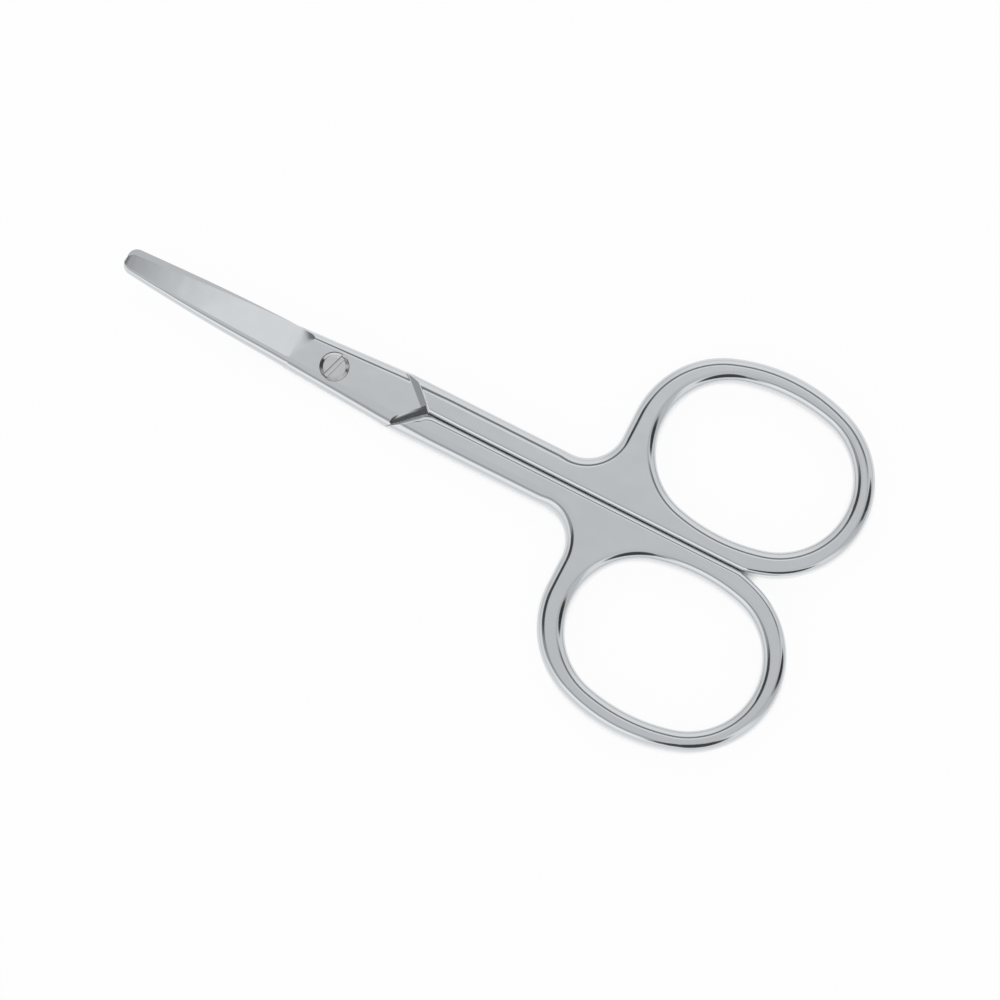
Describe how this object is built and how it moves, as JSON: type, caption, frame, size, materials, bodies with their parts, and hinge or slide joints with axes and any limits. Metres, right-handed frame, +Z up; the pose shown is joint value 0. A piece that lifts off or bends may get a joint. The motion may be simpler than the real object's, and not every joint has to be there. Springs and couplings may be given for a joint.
{
  "type": "cuticle scissors",
  "caption": "Small metal cuticle scissors with slightly curved, round-tipped blades, a lap joint with a slotted pivot screw, and two oval finger bows.",
  "frame": {"origin": "centre of the closed scissors, on the surface that the handles lie on", "axes": "+X from the blade tips to the finger bows, +Y across towards the front half's bow, +Z up out of the surface, towards the screw's head"},
  "size_m": [0.0904, 0.0466, 0.0034],
  "materials": {
    "half_plating": "forged carbon steel, polished and bright nickel-chrome plated",
    "screw_plating": "turned steel, nickel plated"
  },
  "bodies": {
    "back": {"back_half": "half_plating", "pivot_screw": "screw_plating"},
    "front": {"front_half": "half_plating"}
  },
  "joints": [
    {"name": "blade_pivot", "type": "hinge", "parent": "back", "child": "front", "pos_m": [-0.0178, 0, 0.0013], "axis": [0, 0, 1], "range_deg": [0, 120]}
  ]
}
